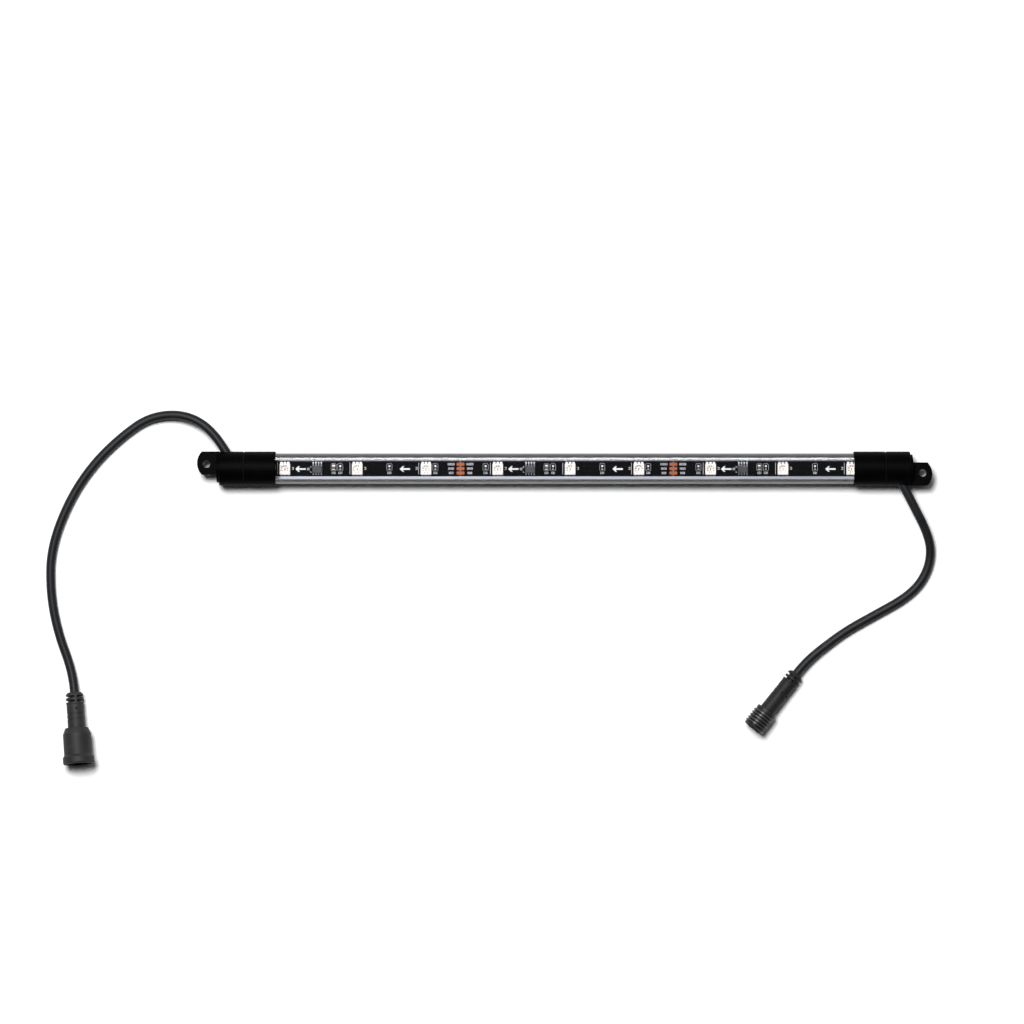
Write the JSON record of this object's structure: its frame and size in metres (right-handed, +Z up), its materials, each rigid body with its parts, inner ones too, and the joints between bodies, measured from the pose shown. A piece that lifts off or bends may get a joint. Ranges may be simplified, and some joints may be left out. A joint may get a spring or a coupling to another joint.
{
  "type": "led strip batten",
  "caption": "Clear round tube batten with an addressable LED strip inside, drilled ears on its end caps, and a lead at each end with a screw connector.",
  "frame": {"origin": "on the plane that the caps rest on, under the middle of the bar without its leads", "axes": "+X along the bar, from the socket end to the plug end; +Y away from the side on which both connectors lie; +Z up, the way the lamps face"},
  "size_m": [0.418, 0.1672, 0.016],
  "materials": {
    "clear_tube": "clear polycarbonate, polished",
    "carrier_metal": "satin extruded",
    "tape": "adhesive film",
    "circuit_film": "black solder mask, slightly glossy",
    "copper": "bare copper, slightly uneven",
    "lamp_housing": "warm white moulded",
    "lamp_lens": "clear silicone fill",
    "tinned_leads": "bright solder",
    "chip_plastic": "fine moulded epoxy",
    "capacitor_ceramic": "fired ceramic with tinned ends",
    "resistor_ceramic": "black top with tinned ends",
    "power_wire": "insulation",
    "data_wire": "insulation",
    "ground_wire": "insulation",
    "wire_seal": "soft silicone",
    "black_rubber": "matt",
    "cap_plastic": "matt black moulded",
    "cord_jacket": "satin jacket",
    "connector_overmould": "matt soft plastic",
    "connector_plastic": "satin nylon",
    "contact_metal": "bright plated"
  },
  "bodies": {
    "batten": {"capacitor_1": "capacitor_ceramic", "capacitor_2": "capacitor_ceramic", "capacitor_3": "capacitor_ceramic", "carrier_bar": "carrier_metal", "driver_chip_1": "chip_plastic", "driver_chip_2": "chip_plastic", "driver_chip_3": "chip_plastic", "driver_chip_leads": "tinned_leads", "led_1": "lamp_housing", "led_2": "lamp_housing", "led_3": "lamp_housing", "led_4": "lamp_housing", "led_5": "lamp_housing", "led_6": "lamp_housing", "led_7": "lamp_housing", "led_8": "lamp_housing", "led_9": "lamp_housing", "led_leads": "tinned_leads", "led_lenses": "lamp_lens", "left_cord": "cord_jacket", "left_data_wire": "data_wire", "left_end_cap": "cap_plastic", "left_gasket": "black_rubber", "left_grommet": "black_rubber", "left_ground_wire": "ground_wire", "left_power_wire": "power_wire", "left_sleeve": "cap_plastic", "left_wire_seal": "wire_seal", "plug_body": "connector_overmould", "plug_head": "connector_plastic", "plug_pins": "contact_metal", "right_cord": "cord_jacket", "right_data_wire": "data_wire", "right_end_cap": "cap_plastic", "right_gasket": "black_rubber", "right_grommet": "black_rubber", "right_ground_wire": "ground_wire", "right_power_wire": "power_wire", "right_sleeve": "cap_plastic", "right_wire_seal": "wire_seal", "segment_1_resistors": "resistor_ceramic", "segment_2_resistors": "resistor_ceramic", "segment_3_resistors": "resistor_ceramic", "socket_body": "connector_overmould", "socket_contacts": "contact_metal", "socket_insert": "connector_plastic", "socket_seal": "black_rubber", "solder_pads": "copper", "strip_circuit": "circuit_film", "strip_tape": "tape", "tube": "clear_tube"},
    "union_nut": {"union_nut": "connector_plastic"}
  },
  "joints": [
    {"name": "union_nut_spin", "type": "hinge", "parent": "batten", "child": "union_nut", "pos_m": [-0.22866, -0.12991, 0.00727], "axis": [0.0736, -0.9884, 0.1329], "continuous": true}
  ]
}
